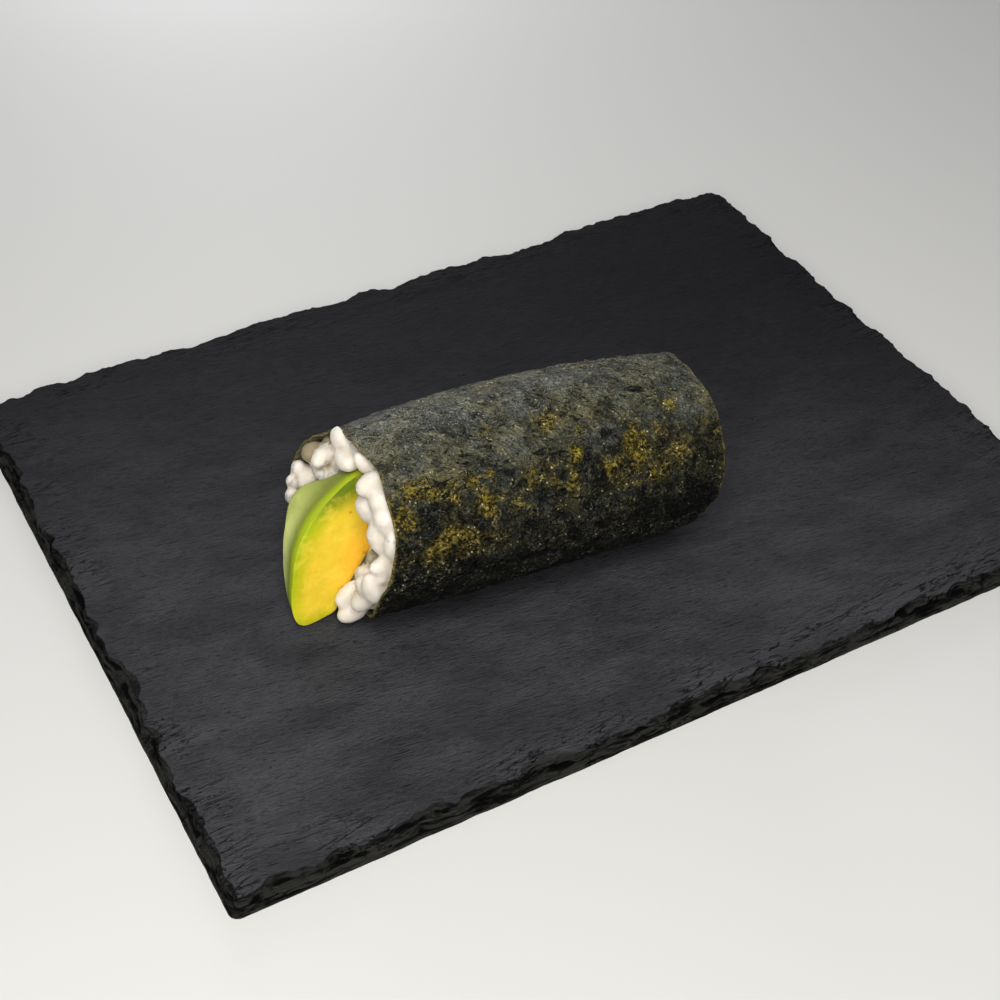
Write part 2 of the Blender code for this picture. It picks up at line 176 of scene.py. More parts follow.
class Shader:  # a small helper that adds and links nodes
    def __init__(self, name):
        self.material = bpy.data.materials.new(name)
        self.material.use_nodes = True
        self.nodes = self.material.node_tree.nodes
        self.links = self.material.node_tree.links
        self.principled = self.nodes["Principled BSDF"]
        self.place = self.nodes.new("ShaderNodeTexCoord").outputs["Object"]

    def put(self, socket, value):
        if isinstance(value, bpy.types.NodeSocket):
            self.links.new(value, socket)
        else:
            socket.default_value = value

    def mapped(self, scale=(1, 1, 1), turn=0.0, source=None):  # turned first, then stretched
        for socket, value in (("Rotation", (0, 0, turn)), ("Scale", scale)):
            node = self.nodes.new("ShaderNodeMapping")
            node.inputs[socket].default_value = value
            self.links.new(source or self.place, node.inputs["Vector"])
            source = node.outputs["Vector"]
        return source

    def grain(self, where, scale, detail=4.0, rough=0.5, twist=0.0):
        node = self.nodes.new("ShaderNodeTexNoise")
        self.links.new(where, node.inputs["Vector"])
        node.inputs["Scale"].default_value = scale
        node.inputs["Detail"].default_value = detail
        node.inputs["Roughness"].default_value = rough
        node.inputs["Distortion"].default_value = twist
        return node.outputs["Fac"]

    def cells(self, where, scale):
        node = self.nodes.new("ShaderNodeTexVoronoi")
        self.links.new(where, node.inputs["Vector"])
        node.inputs["Scale"].default_value = scale
        return node.outputs["Distance"]

    def ramp(self, value, low, high, start=0.0, end=1.0, smooth=True):
        node = self.nodes.new("ShaderNodeMapRange")
        node.interpolation_type = "SMOOTHSTEP" if smooth else "LINEAR"
        self.put(node.inputs["Value"], value)
        node.inputs["From Min"].default_value = low
        node.inputs["From Max"].default_value = high
        node.inputs["To Min"].default_value = start
        node.inputs["To Max"].default_value = end
        return node.outputs["Result"]

    def math(self, kind, first, second=0.0, third=None):
        node = self.nodes.new("ShaderNodeMath")
        node.operation = kind
        self.put(node.inputs[0], first)
        self.put(node.inputs[1], second)
        if third is not None:
            self.put(node.inputs[2], third)
        return node.outputs["Value"]

    def times(self, first, second):
        return self.math("MULTIPLY", first, second)

    def lines(self, field, wide, thin=0.0):  # thin winding lines where a noise passes its middle
        return self.ramp(self.math("ABSOLUTE", self.math("SUBTRACT", field, 0.5)), wide, thin)

    def mix(self, share, first, second):  # two colours, each a socket or a screen colour
        node = self.nodes.new("ShaderNodeMix")
        node.data_type = "RGBA"
        self.put(node.inputs["Factor"], share)
        for socket, colour in (("A", first), ("B", second)):
            self.put(node.inputs[socket], tone(colour) if isinstance(colour, str) else colour)
        return node.outputs["Result"]

    def number(self, name):  # a number kept on the piece's points
        node = self.nodes.new("ShaderNodeAttribute")
        node.attribute_name = name
        return node.outputs["Fac"]

    def part(self, axis):
        node = self.nodes.new("ShaderNodeSeparateXYZ")
        self.links.new(self.place, node.inputs["Vector"])
        return node.outputs[axis]

    def bump(self, height, depth, under=None):
        node = self.nodes.new("ShaderNodeBump")
        node.inputs["Strength"].default_value = 1.0
        node.inputs["Distance"].default_value = depth
        self.links.new(height, node.inputs["Height"])
        if under is not None:
            self.links.new(under, node.inputs["Normal"])
        return node.outputs["Normal"]

    def finish(self, colour, roughness, normal=None, **fixed):
        self.put(self.principled.inputs["Base Color"], colour)
        self.put(self.principled.inputs["Roughness"], roughness)
        if normal is not None:
            self.links.new(normal, self.principled.inputs["Normal"])
        for name, value in fixed.items():
            self.principled.inputs[name.replace("_", " ")].default_value = value
        return self.material


def settle(piece, material, node):
    piece.data.materials.clear()
    piece.data.materials.append(material)
    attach(piece, "root")
    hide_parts(node)


# camera, floor and light

view = dict(
    place=(-0.1744976, -0.2751625, 0.2945999), turn=(47.01511, -1.90990, -29.37888), lens=60.58,
    sensor=36, nearest=0.01,
)
bpy.ops.object.camera_add(location=view["place"], rotation=[math.radians(a) for a in view["turn"]])
camera = bpy.context.active_object
camera.data.lens = view["lens"]
camera.data.sensor_width = view["sensor"]
camera.data.clip_start = view["nearest"]
bpy.context.scene.camera = camera

studio = dict(
    sky=(0.88, 0.91, 0.96, 1), skyPower=0.30, floor="bfbebb", floorSize=4.0, floorRoughness=0.7,
    lamps=(  # name, place, aimed at, size, watts, colour
        ("windowLamp", (0.12, 0.52, 0.17), (0.0, 0.0, 0.04), 0.20, 1.2, (0.95, 0.97, 1.0)),
        ("frontLamp", (-0.38, -0.48, 0.42), (-0.05, -0.04, 0.02), 0.45, 3.55, (1.0, 0.98, 0.95)),
        ("topLamp", (-0.14, -0.21, 0.46), (-0.03, -0.05, 0.0), 0.18, 2.0, (1.0, 0.99, 0.97)),
    ),
)
bpy.context.scene.view_settings.view_transform = "Standard"
world = bpy.data.worlds.new("studioSky")
world.use_nodes = True
skyNode = world.node_tree.nodes["Background"]
skyNode.inputs["Color"].default_value = studio["sky"]
skyNode.inputs["Strength"].default_value = studio["skyPower"]
bpy.context.scene.world = world
for name, place, aim, size, watts, colour in studio["lamps"]:
    bpy.ops.object.light_add(type="AREA", location=place)
    lamp = bpy.context.active_object
    lamp.name = name
    lamp.rotation_euler = (Vector(aim) - Vector(place)).to_track_quat("-Z", "Y").to_euler()
    lamp.data.size = size
    lamp.data.energy = watts
    lamp.data.color = colour
deselect()
bpy.ops.mesh.primitive_plane_add(size=studio["floorSize"], location=(0, 0, 0))
floor = bpy.context.active_object
floor.name = "floor"
floorLook = Shader("floorPaint")
floor.data.materials.append(floorLook.finish(tone(studio["floor"]), studio["floorRoughness"]))
print("camera, floor and lamps ready")


# slate board: stacked thin layers with chipped edges under a riven top

board = dict(
    length=0.240, width=0.177, thick=0.005, corners=(0.007, 0.0035, 0.0025, 0.004), seed=5,
    chips=80, chipWidths=(0.005, 0.016), chipDepths=(0.0006, 0.0032), foot=0.00004,
    bevel=0.0014, bevelCurve=1.4, ripple=0.0003, ledgeRipple=0.0018, rippleLength=0.006, levelShift=0.01,
    places=2200, layers=6, flakes=420, flakeWidths=(0.0014, 0.006), flakeDepths=(0.0003, 0.0013),
    tread=0.00012, lift=0.45, liftLength=0.02, spare=1.04,  # the top layer is cut down by the riven top
    rivenSteps=(205, 152), rivenHeight=0.00497, rivenMargin=0.006, rivenDepth=0.02,
    waves=(  # length, height, stretch, turn in degrees, detail, contrast
        (0.006, 0.00016, (5, 1, 1), -4, 3, 1),
        (0.020, 0.00014, (2.2, 1, 1), -12, 4, 4),
    ),
    # back is painted shade: the top gets darker towards the back and the right
    light="444447", dark="353538", back="17171a", streak="101012", scratch="0a0a0b", dust="343437",
    strata=("020202", "2a2a27"), crack="020202",  # strata show in the broken edge
)


def boardOutline(b):  # evenly spaced points and outward directions round the board
    halfX, halfY = b["length"] / 2, b["width"] / 2
    corners = ((halfX, halfY), (-halfX, halfY), (-halfX, -halfY), (halfX, -halfY))
    sides = (b["width"], b["length"], b["width"], b["length"])
    stretches = []
    for turn, radius in enumerate(b["corners"]):
        heading = turn * math.pi / 2
        outward = Vector((math.cos(heading), math.sin(heading)))
        along = Vector((-outward.y, outward.x))
        middle = Vector(corners[turn]) - (outward + along) * radius
        straight = sides[turn] - b["corners"][turn - 1] - radius
        stretches.append((heading, outward, along, middle, radius, straight))
    total = sum(s[5] + math.pi / 2 * s[4] for s in stretches)
    points = []
    for step in range(b["places"]):
        left = total * step / b["places"]
        for heading, outward, along, middle, radius, straight in stretches:
            if left < straight:
                points.append((middle + outward * radius + along * (left - straight), outward))
                break
            left -= straight
            if left < math.pi / 2 * radius:
                swing = heading + left / radius
                outward = Vector((math.cos(swing), math.sin(swing)))
                points.append((middle + outward * radius, outward))
                break
            left -= math.pi / 2 * radius
    return points, total


def chipDepths(b, total, seed, count, widths, deepest):  # how far the edge is broken back all round
    draw = random.Random(seed)
    depths = np.zeros(b["places"])
    around = np.arange(b["places"]) * total / b["places"]
    for _ in range(count):
        width = draw.uniform(*widths)
        depth = draw.uniform(*deepest) * math.sqrt(width / widths[1])
        away = np.abs((around - draw.uniform(0, total) + total / 2) % total - total / 2)
        depths = np.maximum(depths, depth * (1 - (2 * away / width) ** 2))
    return depths


def layerRings(b):  # each layer has its own small flakes, a steep broken face and a narrow tread
    outline, total = boardOutline(b)
    chips = chipDepths(b, total, b["seed"], b["chips"], b["chipWidths"], b["chipDepths"])
    rings = []
    below = np.full(b["places"], b["foot"])
    for layer in range(b["layers"]):
        level = (layer + 0.5) / b["layers"]
        seed = b["seed"] + 10 * layer
        flakes = chipDepths(b, total, seed, b["flakes"], b["flakeWidths"], b["flakeDepths"])
        for top in (0, 1):
            ring = []
            for i, (place, outward) in enumerate(outline):
                wave = noise.noise(Vector((place.x, place.y, level * b["levelShift"])) / b["rippleLength"])
                inset = b["ripple"] * (1 + wave) * level
                inset += level ** b["bevelCurve"] * (b["bevel"] + chips[i])
                inset += level * (1 - level) * b["ledgeRipple"] * wave
                inset += level * flakes[i] + top * b["tread"]
                below[i] = max(inset, below[i])
                height = (layer + top) / b["layers"]
                if height == 1:
                    height = b["spare"]
                elif height > 0:
                    swell = noise.noise(Vector((place.x, place.y, layer * b["liftLength"])) / b["liftLength"])
                    height += b["lift"] * swell / b["layers"]
                spot = place - outward * below[i]
                ring.append((spot.x, spot.y, height * b["thick"]))
            rings.append(ring)
    return rings


def makeBoard(b):
    rings = layerRings(b)
    count = b["places"]
    deselect()
    bpy.ops.mesh.primitive_circle_add(vertices=count, radius=0.1, fill_type="NOTHING")
    slab = bpy.context.active_object
    slab.name = "slateBoard"
    slab.data.attributes.new("place", "INT", "POINT").data.foreach_set("value", range(count))
    for index, ring in enumerate(rings):
        if index:
            bpy.ops.object.mode_set(mode="EDIT")
            bpy.ops.mesh.extrude_region_move()
            leaveEdit()
        order = np.zeros(len(slab.data.vertices), dtype=int)
        slab.data.attributes["place"].data.foreach_get("value", order)
        points = readPoints(slab.data)
        points[-count:] = np.array(ring)[order[-count:]]
        writePoints(slab.data, points)
    editAll(slab)
    bpy.ops.mesh.fill_holes(sides=0)
    bpy.ops.mesh.select_all(action="SELECT")
    bpy.ops.mesh.normals_make_consistent(inside=False)
    leaveEdit()
    slab.data.attributes.remove(slab.data.attributes["place"])
    return slab


def makeRivenTop(b):  # a finely divided sheet with the riven relief, thick enough to cut the slab with
    deselect()
    across, up = b["rivenSteps"]
    bpy.ops.mesh.primitive_grid_add(
        x_subdivisions=across, y_subdivisions=up, size=1, location=(0, 0, b["rivenHeight"])
    )
    sheet = bpy.context.active_object
    sheet.scale = (b["length"] + b["rivenMargin"], b["width"] + b["rivenMargin"], 1)
    applyPlace(sheet)
    for size, depth, stretch, turn, detail, contrast in b["waves"]:
        displace(sheet, size, depth, 1.0, stretch, math.radians(turn), detail, contrast)
    editAll(sheet)
    bpy.ops.mesh.extrude_region_move(TRANSFORM_OT_translate={"value": (0, 0, -b["rivenDepth"])})
    bpy.ops.mesh.select_all(action="SELECT")
    bpy.ops.mesh.normals_make_consistent(inside=False)
    leaveEdit()
    return sheet


slate = makeBoard(board)
rivenTop = makeRivenTop(board)
cut = slate.modifiers.new("rivenTop", "BOOLEAN")
cut.operation = "INTERSECT"
cut.solver = "MANIFOLD"
cut.object = rivenTop
applyModifiers(slate)
bpy.data.objects.remove(rivenTop, do_unlink=True)
pick(slate)
bpy.ops.object.shade_smooth_by_angle(angle=math.radians(32))


def slateLook(b):
    s = Shader("rivenSlate")
    wide = s.grain(s.mapped((1, 2.2, 1), math.radians(14)), 42, 5, 0.55, 0.4)
    fine = s.grain(s.mapped((1, 9, 1), math.radians(7)), 240, 6, 0.7, 0.3)
    short = s.grain(s.mapped((1, 6, 1), math.radians(5)), 420, 3, 0.55, 0.5)
    dust = s.grain(s.place, 2600, 2, 0.6)
    strata = s.grain(s.mapped((140, 140, 1000)), 1, 4, 0.6, 0.4)
    flat = s.ramp(s.part("Z"), 0.0040, 0.0047)
    gapX = s.math("SUBTRACT", b["length"] / 2, s.math("ABSOLUTE", s.part("X")))
    gapY = s.math("SUBTRACT", b["width"] / 2, s.math("ABSOLUTE", s.part("Y")))
    nearEdge = s.ramp(s.math("MINIMUM", gapX, gapY), 0.015, 0.005)
    field = s.grain(s.mapped((0.7, 4.5, 1), math.radians(-4)), 110, 5, 0.6, 0.6)
    crack = s.times(s.lines(field, 0.018, 0.003), s.times(nearEdge, s.ramp(wide, 0.42, 0.52)))
    pits = s.times(s.ramp(s.cells(s.place, 95), 0.05, 0.03), s.ramp(wide, 0.52, 0.56))
    # painted shade: the top is darker towards the back and the right
    back = s.ramp(s.math("MULTIPLY_ADD", s.part("X"), 0.4, s.part("Y")), -0.09, 0.10)
    colour = s.mix(s.ramp(wide, 0.3, 0.7), b["dark"], b["light"])
    colour = s.mix(s.times(back, 0.97), colour, b["back"])
    colour = s.mix(s.ramp(fine, 0.52, 0.68, 0.0, 0.6), colour, b["streak"])
    colour = s.mix(s.ramp(short, 0.60, 0.70, 0.0, 0.7), colour, b["scratch"])
    colour = s.mix(flat, s.mix(s.ramp(strata, 0.42, 0.56), *b["strata"]), colour)
    colour = s.mix(s.ramp(dust, 0.66, 0.8), colour, b["dust"])
    colour = s.mix(s.math("MAXIMUM", crack, pits), colour, b["crack"])
    relief = s.bump(fine, 0.0008)
    for height, depth in ((short, 0.0005), (strata, 0.0003), (crack, -0.0003), (dust, 0.00006)):
        relief = s.bump(height, depth, relief)
    return s.finish(colour, s.ramp(fine, 0.3, 0.7, 0.58, 0.76), relief, Specular_IOR_Level=0.06)


settle(slate, slateLook(board), "slate_board")
print("slate board:", len(slate.data.polygons), "faces")


# seaweed sheet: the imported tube, finely divided and crinkled, with shallow notches in its near rim

nori = dict(
    lengthwise=(0.8, 0.002),  # an edge to cut: its share along the roll, its least run
    cuts=2, levels=2, axisHeight=0.0225,
    creases=((0.0046, 0.00052), (0.0021, 0.00030)),  # length of a crinkle and its height
    creaseMiddle=0.4, creaseShift=7, swell=(0.009, 0.00018), stretch=(0.65, 1.0, 1.0),
    notches=((36, 26, 0.0028), (-19, 22, 0.0016)),  # angle from the top, half width, how far back
    notchReach=(-0.016, -0.028), outerFrom=0.0215, middleRadius=0.0225, floorGap=0.0001,
    peak=(52, 20, 5, 0.0009),  # along in mm, angle from the top, reach in mm, height
    rimFacing=0.6, rimMiddle=0.015, rimReach=0.025,  # the rims face along the roll, away from its middle
    # along the roll in mm, angle from the top, radius in mm, golden above 0 and black below
    spots=dict(
        bright=(14, -21, 4, 1.1), brightTop=(16.5, -16, 2.5, 0.6), glow=(19.5, -40, 3.2, 1.6),
        glowTop=(21, -30, 3, 0.7), blob=(34, -42, 5, 1.1), blobLow=(34.5, -52, 4, 0.6),
        brown=(26.5, -51, 5, 0.65), rightMid=(39, -66, 4, 0.9), high=(46, -27, 4, 0.65),
        highLow=(43, -38, 4.5, 0.5), farHigh=(54.5, -41, 3.5, 0.9), farRim=(56.5, -51, 3, 0.8),
        mottle=(47, -51, 6, 0.4), farMid=(51.5, -63, 5, 0.45), olive=(1, -20, 6, 0.55),
        nugget=(-1.5, -38, 2.5, 0.9), nuggetLeft=(-6, -39, 3, 0.7), leftHigh=(-15.5, -40, 4.5, 1.1),
        leftMid=(-11, -45, 4.5, 1.05), lowMid=(-4.5, -55, 4.5, 0.9), drop=(17.5, -55, 3, 0.5),
        crumb=(12.5, -66, 2, 0.7), leftRim=(-19, -35, 4.5, 1.0), leftRimLow=(-23.5, -51, 4, 1.0),
        leftLow=(-16, -70, 5.5, 1.1), leftLowest=(-19.5, -81, 4.5, 0.6), lowRight=(-9.5, -75, 5, 0.8),
        # black, blackRight and shade below are painted shadow and shade, not marks of the sheet
        lowBand=(-12.5, -65, 4, 0.8), black=(48, -92, 6, -1.8), blackRight=(52, -93, 4, -1.2),
        pit=(15, -48, 2.5, -1.0), pitHigh=(27.5, -33, 3, -0.8), pitMid=(22, -45, 2, -0.8),
        pitLeft=(2.5, -44, 4, -0.8), shade=(9.5, -60, 4.5, -0.6),
    ),
    # colours, a pair for dark and light; lit and dim are painted sheen on the roll's top
    ground=("080803", "2f2d17"), blue=("0b0d0e", "272c2e"), lit=("2c2e22", "6c6a55"),
    dim=("22272a", "50555a"), gold=("241d07", "80701d"), curled=("62614f", "c8b668"), lime="c2bb22",
    black="020201", low="030302", pores="010100", grit="5c5a46", strokes="010101", threads="85846e",
    glint="d8cfa6", inner="6f6c58", edge="7a6c38",
)


def ridge(place):  # 1 on the sharp crests of a crumpled sheet, near 0 between them
    return (1 - min(1.0, 2 * abs(noise.noise(place)))) ** 2


def divideLengthwise(sheet, n):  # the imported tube's long edges are cut, so that its faces are near square
    points = inRoll(readPoints(sheet.data))
    share, least = n["lengthwise"]
    chosen = []
    for edge in sheet.data.edges:
        run = points[edge.vertices[1]] - points[edge.vertices[0]]
        chosen.append(bool(abs(run[0]) > share * float(np.linalg.norm(run)) and abs(run[0]) > least))
    editAll(sheet)
    bpy.ops.mesh.select_mode(type="EDGE")
    bpy.ops.mesh.select_all(action="DESELECT")
    leaveEdit()
    sheet.data.edges.foreach_set("select", chosen)
    bpy.ops.object.mode_set(mode="EDIT")
    bpy.ops.mesh.subdivide(number_cuts=n["cuts"])
    bpy.ops.mesh.select_mode(type="VERT")
    leaveEdit()


def makeNori(n):
    sheet = copyOfNode("nori_wrap", "noriWrap")
    divideLengthwise(sheet, n)
    subdivideSmoothly(sheet, n["levels"])
    points = inRoll(readPoints(sheet.data))
    arm = points[:, 1:] - (0, n["axisHeight"])
    radius = np.hypot(arm[:, 0], arm[:, 1])
    angle = np.degrees(np.arctan2(arm[:, 0], arm[:, 1]))

    def closeness(along, turn, reach):  # 1 at a place on the sheet, down to 0 at its reach
        away = np.hypot(points[:, 0] / mm - along, np.radians(angle - turn) * n["axisHeight"] / mm)
        return smoothStep(reach - away, 0, reach)

    for middle, halfWidth, back in n["notches"]:
        share = smoothStep(halfWidth - np.abs(angle - middle), 0, halfWidth)
        points[:, 0] += back * share * smoothStep(points[:, 0], *n["notchReach"])
    middleRadius = np.where(radius > n["outerFrom"], n["middleRadius"], radius)  # both faces move alike
    lift = np.zeros(len(points))
    for i, (x, y, z) in enumerate(points):
        scale = middleRadius[i] / max(radius[i], mm)
        spot = Vector((x * n["stretch"][0], y * scale, (z - n["axisHeight"]) * scale))
        for turn, (length, height) in enumerate(n["creases"]):
            shifted = spot / length + Vector((0, 0, n["creaseShift"] * turn))
            lift[i] += height * (ridge(shifted) - n["creaseMiddle"])
        lift[i] += n["swell"][1] * noise.noise(spot / n["swell"][0])
    points[:, 1:] += arm / radius[:, None] * lift[:, None]
    points[:, 1:] += arm / radius[:, None] * (n["peak"][3] * closeness(*n["peak"][:3]))[:, None]
    points[:, 2] += np.clip(n["floorGap"] - points[:, 2], 0, None)
    writePoints(sheet.data, fromRoll(points))
    normals = readNormals(sheet.data)
    outward = normals[:, 1] * arm[:, 0] / radius + normals[:, 2] * arm[:, 1] / radius
    keepNumbers(sheet.data, "inner", outward < 0)
    keepNumbers(sheet.data, "round", np.abs(angle))
    facing = normals @ np.array(rollToWorld.to_3x3())[:, 0]
    rim = np.nonzero(np.abs(facing) > n["rimFacing"])[0]
    rim = rim[np.abs(points[rim, 0] - n["rimMiddle"]) > n["rimReach"]]
    tree = KDTree(len(rim))
    for index in rim:
        tree.insert(Vector(points[index]), int(index))
    tree.balance()
    keepNumbers(sheet.data, "fromRim", [tree.find(p)[2] / mm for p in points])
    spots = np.zeros(len(points))
    for along, turn, reach, strength in n["spots"].values():
        spots += strength * closeness(along, turn, reach)
    keepNumbers(sheet.data, "spots", spots)
    pick(sheet)
    bpy.ops.object.shade_smooth()
    return sheet


noriSheet = makeNori(nori)


def noriLook(n):
    s = Shader("driedSeaweed")
    where = s.mapped(turn=-roll["turn"])
    drawn = s.mapped((0.36, 1, 1), 0.75, where)
    laid = s.mapped((0.3, 1, 1), 0.1, where)
    fromTop, spots = s.number("round"), s.number("spots")
    broad = s.grain(where, 75, 3, 0.5, 0.3)
    other = s.grain(s.mapped((1, 1, 1.3), 1.0, where), 110, 3, 0.55, 0.3)
    patch = s.grain(where, 290, 3, 0.55, 1.0)
    cloud = s.grain(where, 170, 3, 0.5, 0.7)
    fine = s.grain(where, 680, 2, 0.55, 1.8)
    grit = s.grain(where, 1700, 1, 0.5, 0.6)
    flow = s.grain(drawn, 560, 3, 0.6, 2.4)

    def threads(place, scale, twist, thin):
        return s.lines(s.grain(place, scale, 1, 0.5, twist), thin)

    longThreads = s.math("MAXIMUM", threads(drawn, 300, 1.6, 0.035), threads(laid, 280, 1.4, 0.03))
    curled = threads(where, 330, 2.2, 0.05)
    strokes = s.times(threads(drawn, 170, 0.8, 0.035), s.ramp(patch, 0.50, 0.56))
    nicks = s.times(threads(laid, 260, 1.2, 0.04), s.ramp(patch, 0.50, 0.44))
    strokes = s.math("MAXIMUM", strokes, s.times(nicks, s.ramp(other, 0.48, 0.54)))
    # top: the roll's top, painted lighter below as sheen
    top = s.ramp(fromTop, 50, 24)
    # low: the roll's underside, painted darker below as shade
    low = s.ramp(fromTop, 62, 90)
    rough = s.math("ADD", s.times(fine, 0.7), s.times(grit, 0.3))
    soft = s.ramp(s.math("MULTIPLY_ADD", patch, 0.35, s.times(cloud, 0.65)), 0.38, 0.62)
    colour = s.mix(soft, *n["ground"])
    colour = s.mix(s.ramp(other, 0.50, 0.43, 0.0, 0.7), colour, s.mix(soft, *n["blue"]))
    stream = s.ramp(s.math("MULTIPLY_ADD", cloud, 0.6, s.times(flow, 0.4)), 0.38, 0.62)
    # painted sheen: lighter streaky colour on the top, bluish grey in places
    lit = s.mix(s.ramp(other, 0.50, 0.44, 0.0, 0.5), s.mix(stream, *n["lit"]), s.mix(stream, *n["dim"]))
    colour = s.mix(s.times(top, 0.9), colour, lit)
    field = s.math("MULTIPLY_ADD", s.math("SUBTRACT", patch, 0.5), 1.7, spots)
    field = s.math("ADD", field, s.ramp(broad, 0.42, 0.60, -0.25, 0.3))
    gold = s.times(s.ramp(field, 0.05, 0.9), s.ramp(fromTop, 100, 80))
    gold = s.times(gold, s.ramp(fromTop, 6, 16))
    spark = s.ramp(rough, 0.46, 0.60)
    colour = s.mix(gold, colour, s.mix(spark, *n["gold"]))
    colour = s.mix(s.times(s.ramp(spots, 1.15, 1.5), spark), colour, n["lime"])
    # black: dark patches of the sheet, and painted shadow from the black spots and on the underside
    black = s.math("MAXIMUM", s.ramp(field, -0.30, -0.75), s.times(s.ramp(other, 0.50, 0.58), low))
    clean = s.math("SUBTRACT", 1.0, black)
    colour = s.mix(s.times(black, 0.9), colour, n["black"])
    # painted shade: the lower side darker
    colour = s.mix(s.times(low, 0.7), colour, n["low"])
    colour = s.mix(s.ramp(rough, 0.41, 0.37, 0.0, 0.8), colour, n["pores"])
    colour = s.mix(s.times(s.ramp(rough, 0.58, 0.64, 0.0, 0.45), clean), colour, n["grit"])
    colour = s.mix(strokes, colour, n["strokes"])
    some = s.times(s.math("MULTIPLY_ADD", s.ramp(patch, 0.46, 0.60), 0.5, 0.05), clean)
    # light fibres, shown only on the top: partly the sheet's own fibres, partly painted sheen streaks
    colour = s.mix(s.times(longThreads, s.times(some, top)), colour, n["threads"])
    colour = s.mix(s.times(curled, some), colour, s.mix(gold, *n["curled"]))
    glint = s.times(s.ramp(s.cells(where, 680), 0.20, 0.10), s.ramp(patch, 0.47, 0.53))
    glint = s.times(s.times(glint, clean), s.math("MULTIPLY_ADD", gold, 0.6, 0.3))
    colour = s.mix(glint, colour, n["glint"])
    # the inside of the sheet painted lighter, as light shining through the thin sheet
    colour = s.mix(s.times(s.number("inner"), 0.85), colour, n["inner"])
    # a painted highlight along the cut rims
    edge = s.times(s.ramp(s.number("fromRim"), 0.75, 0.1), s.ramp(patch, 0.38, 0.55, 0.25, 0.85))
    colour = s.mix(edge, colour, n["edge"])
    threaded = s.math("MAXIMUM", longThreads, curled)
    relief = s.bump(patch, 0.0020)
    for height, depth in ((fine, 0.0007), (flow, 0.0006), (threaded, 0.0005), (strokes, -0.0004)):
        relief = s.bump(height, depth, relief)
    return s.finish(colour, s.ramp(fine, 0.35, 0.65, 0.10, 0.24), relief, Specular_IOR_Level=0.18)


settle(noriSheet, noriLook(nori), "nori_wrap")
print("seaweed:", len(noriSheet.data.polygons), "faces")


# avocado wedge: a flat cut face in front, the rounded skin side behind

avocado = dict(
    foot=-0.006, lean=0.19, crease=0.93, levels=3, unevenness=(0.006, 0.0003), floorGap=0.00012,
    stoneTop=0.024, stoneLine=(0.25, -0.0395),  # the cut face's edge is the pit's side below these
    frontDepth=0.0006, frontFacing=-0.4,
    tip=dict(place=(-0.0445, -0.005, 0.001), reach=0.007, shift=(-0.0004, -0.0009, -0.0002)),
    shoulder=dict(place=(-0.0375, 0.012, 0.026), reach=0.010, rise=0.0014, depths=(0.0005, 0.003)),
    # colours of the cut face from the skin inwards, of its marks, painted shade and highlight, and of the
    # skin side
    rind=("9aa80a", "b8b012"), flesh="dabc2e", inner="e8b42f", shadedFaceTop=("5c6e0a", "a29c16"), stone="d59c24",
    pale="eecb48", deep="e2ab28", speck="b98a2a", edgeHighlight="d2cf30",
    skin=("656e1d", "bfc778"), skinCloud="838b3c", shadedSkinTop="6c7526", skinEdge="8b9a0c",
)


def makeAvocado(a):
    wedge = copyOfNode("avocado_wedge", "avocadoWedge")
    editAll(wedge)
    bpy.ops.mesh.select_all(action="DESELECT")
    bpy.ops.mesh.select_mode(type="EDGE")
    bpy.ops.mesh.edges_select_sharp(sharpness=math.radians(50))
    bpy.ops.transform.edge_crease(value=a["crease"])
    bpy.ops.mesh.select_mode(type="VERT")
    leaveEdit()
    subdivideSmoothly(wedge, a["levels"])
    displace(wedge, *a["unevenness"])
    points = inRoll(readPoints(wedge.data))
    depth = points[:, 1] - (a["foot"] + a["lean"] * points[:, 2])

    def closeness(spot):  # 1 at a place, down to 0 at its reach
        away = np.linalg.norm(points - np.array(spot["place"]), axis=1)
        return smoothStep(spot["reach"] - away, 0, spot["reach"])

    swell = a["shoulder"]["rise"] * closeness(a["shoulder"]) * smoothStep(depth, *a["shoulder"]["depths"])
    points += rollNormals(wedge.data) * swell[:, None]
    points += closeness(a["tip"])[:, None] * np.array(a["tip"]["shift"])
    points[:, 2] = np.maximum(points[:, 2], a["floorGap"])
    writePoints(wedge.data, fromRoll(points))
    keepNumbers(wedge.data, "depth", depth / mm)
    front = (depth < a["frontDepth"]) & (readNormals(wedge.data)[:, 1] < a["frontFacing"])
    rim = set()
    for edge in wedge.data.edges:
        first, second = edge.vertices
        if front[first] != front[second]:
            rim.add(first if front[first] else second)
    trees = [KDTree(len(rim)), KDTree(len(rim))]
    for index in rim:
        x, _, z = points[index]
        skinward = z > a["stoneTop"] or x < a["stoneLine"][0] * z + a["stoneLine"][1]
        trees[0 if skinward else 1].insert(Vector((x, 0, z)), index)
    for tree, name in zip(trees, ("fromSkin", "fromStone")):
        tree.balance()
        keepNumbers(wedge.data, name, [tree.find((x, 0, z))[2] / mm for x, _, z in points])
    pick(wedge)
    bpy.ops.object.shade_smooth_by_angle(angle=math.radians(45))
    return wedge


wedge = makeAvocado(avocado)


